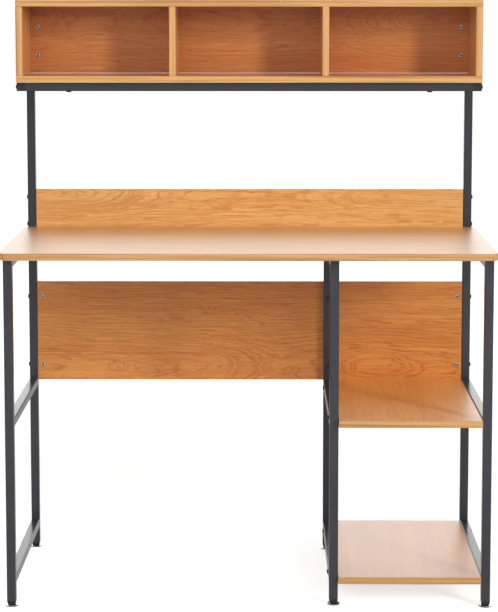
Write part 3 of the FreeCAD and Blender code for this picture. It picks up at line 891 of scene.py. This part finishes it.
def pressed_disc(rim):
    """A disc with a rolled rim, dished between the rim and the boss round its stem."""
    return turned([
        (rim - 0.0016, SHADE_PAD_HEIGHT * 0.8), (rim - 0.0003, SHADE_PAD_HEIGHT * 0.9),
        (rim, SHADE_PAD_HEIGHT + 0.0002), (rim - 0.0002, SHADE_PAD_HEIGHT + 0.0005),
        (rim - 0.0008, RISE_HEIGHT), (rim - 0.0016, DISC_HEIGHT - 0.0001),
        (rim - 0.0034, DISH_HEIGHT), (rim * 0.58, DISH_HEIGHT),
        (rim * 0.48, RISE_HEIGHT), (BOSS_RADIUS, DISC_HEIGHT),
    ], steps=DISC_STEPS)


def painted_shade_pad(rim):
    """A flat dark pad a little smaller than the disc, with its lower edge broken; it is painted shade under
    the disc's rim.
    """
    profile = [(rim - 0.0010, 0.0), (rim - 0.0005, 0.0003), (rim - 0.0005, SHADE_PAD_HEIGHT)]
    return turned(profile, steps=DISC_STEPS)


def joined(*skins):
    """Several skins as one."""
    whole = bmesh.new()
    for skin in skins:
        passing = bpy.data.meshes.new("passing")
        skin.to_mesh(passing)
        skin.free()
        whole.from_mesh(passing)
        bpy.data.meshes.remove(passing)
    return whole


def set_down(skin, centre):
    """A skin set upright on the floor at a centre."""
    bmesh.ops.translate(skin, vec=(centre.x, centre.y, 0), verts=skin.verts)
    return skin


plating = bright_plate()
for body in frame["bodies"]:
    if body == "desk":
        continue
    low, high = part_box(body)
    centre = (low + high) / 2
    rim = (high.x - low.x) / 2
    metal = joined(pressed_disc(rim), threaded_stem(RISE_HEIGHT, high.z))
    fit_piece(set_down(metal, centre), body + "_disc", plating, "foot_metal", body, body)
    # The dark pad is painted shade for the underside of the disc's rim.
    fit_piece(set_down(painted_shade_pad(rim), centre), body + "_pad", plastic, "black_plastic", body)


# ---- Room, light and camera ---------------------------------------------------------------------
# A white floor that runs out of sight under a white backdrop, with a tall key light at the front right
# and two soft boxes from the left. Behind the desk one panel fills in and another one is seen only in
# reflections. The lens is long and stands level with the top of the hutch.
SKY_IN_FRONT = 0.25
SKY_BEHIND = 0.08
SKY_MIRRORED = 1.0
SKY_EDGE = 0.25
FLOOR_GREY = 0.85
FLOOR_LIFT = 0.68
FAR_LIFT = 0.95
LIFT_NEAR = 1.2
LIFT_FAR = 3.5
MIRROR_LIFT = 0.20
FLOOR_GAP = 0.0005
FLOOR_HALF = 25.0
LAMPS_AIM = Vector((0.0, 0.0, 0.75))
BEHIND = (0.0, 3.2, 1.7)
PANEL = (5.0, 3.0)
# Each lamp's name, place, size, watts, and whether reflections show it; only the others fill.
LAMPS = (
    ("key_strip", (5.2, -6.1, 3.4), (1.1, 3.2), 420, False),
    ("front_box", (-0.9, -4.0, 2.5), (2.5, 1.5), 42, False),
    ("fill_box", (-2.6, -2.6, 1.6), (2.4, 2.4), 22, False),
    ("rear_panel", BEHIND, PANEL, 46, True),
    ("rear_fill", BEHIND, PANEL, 64, False),
)
SENSOR_WIDTH = 36
LENS = 119.64
CAMERA_SHIFT = -0.15
CAMERA_PLACE = (0.0256, -4.4766, 1.3031)
CAMERA_TILT = 6.156
CAMERA_TURN = 0.327


def seen_directly(tree, rays):
    """1 for what the camera sees, straight or through something clear."""
    return larger(tree, rays.outputs["Is Camera Ray"], rays.outputs["Is Transmission Ray"])


def white_world():
    """A soft sky, brighter in front of the desk than behind it, that looks plain white."""
    world = bpy.data.worlds.new("studio")
    world.use_nodes = True
    sky = world.node_tree
    background = sky.nodes["Background"]
    rays = sky.nodes.new("ShaderNodeLightPath")
    backwards = parts_of(sky, put(sky, "TexCoord", out="Generated"))["Y"]
    soft_light = put(sky, "MapRange", {
        "Value": backwards, 1: -SKY_EDGE, 2: SKY_EDGE, 3: SKY_IN_FRONT, 4: SKY_BEHIND,
    })
    strength = blend_numbers(sky, rays.outputs["Is Glossy Ray"], soft_light, SKY_MIRRORED)
    strength = blend_numbers(sky, seen_directly(sky, rays), strength, 1.0)
    sky.links.new(strength, background.inputs["Strength"])
    background.inputs["Color"].default_value = opaque(1.0)
    return world


def white_floor():
    """Matte white, lifted to white where the camera sees it, and still keeping a faint shadow."""
    material, tree, shader = new_material("white_floor")
    shader.inputs["Base Color"].default_value = opaque(FLOOR_GREY)
    shader.inputs["Roughness"].default_value = 0.9
    shader.inputs["Specular IOR Level"].default_value = 0.0
    shader.inputs["Emission Color"].default_value = opaque(1.0)
    rays = tree.nodes.new("ShaderNodeLightPath")
    away = put(tree, "VectorMath", {0: put(tree, "TexCoord", out="Object")}, out="Value", operation="LENGTH")
    lift = put(tree, "MapRange", {"Value": away, 1: LIFT_NEAR, 2: LIFT_FAR, 3: FLOOR_LIFT, 4: FAR_LIFT})
    glow = times(tree, seen_directly(tree, rays), lift)
    glow = larger(tree, glow, times(tree, rays.outputs["Is Glossy Ray"], MIRROR_LIFT))
    tree.links.new(glow, shader.inputs["Emission Strength"])
    return material


scene.world = white_world()
ground = bmesh.new()
bmesh.ops.create_grid(ground, x_segments=1, y_segments=1, size=FLOOR_HALF)
floor = object_from(ground, "floor")
floor.location.z = -FLOOR_GAP
floor.data.materials.append(white_floor())

for name, place, size, watts, mirrored in LAMPS:
    lamp = bpy.data.lights.new(name, "AREA")
    lamp.shape = "RECTANGLE"
    lamp.size, lamp.size_y = size
    lamp.energy = watts
    holder = bpy.data.objects.new(name, lamp)
    holder.location = place
    holder.visible_glossy = mirrored
    holder.visible_diffuse = not mirrored
    holder.rotation_euler = (LAMPS_AIM - holder.location).to_track_quat("-Z", "Y").to_euler()
    scene.collection.objects.link(holder)

camera_data = bpy.data.cameras.new("camera")
camera_data.lens = LENS
camera_data.sensor_width = SENSOR_WIDTH
camera_data.shift_y = CAMERA_SHIFT
camera = bpy.data.objects.new("camera", camera_data)
camera.location = CAMERA_PLACE
camera.rotation_euler = (math.radians(90 - CAMERA_TILT), 0, math.radians(CAMERA_TURN))
scene.collection.objects.link(camera)
scene.camera = camera
scene.view_settings.view_transform = "Standard"
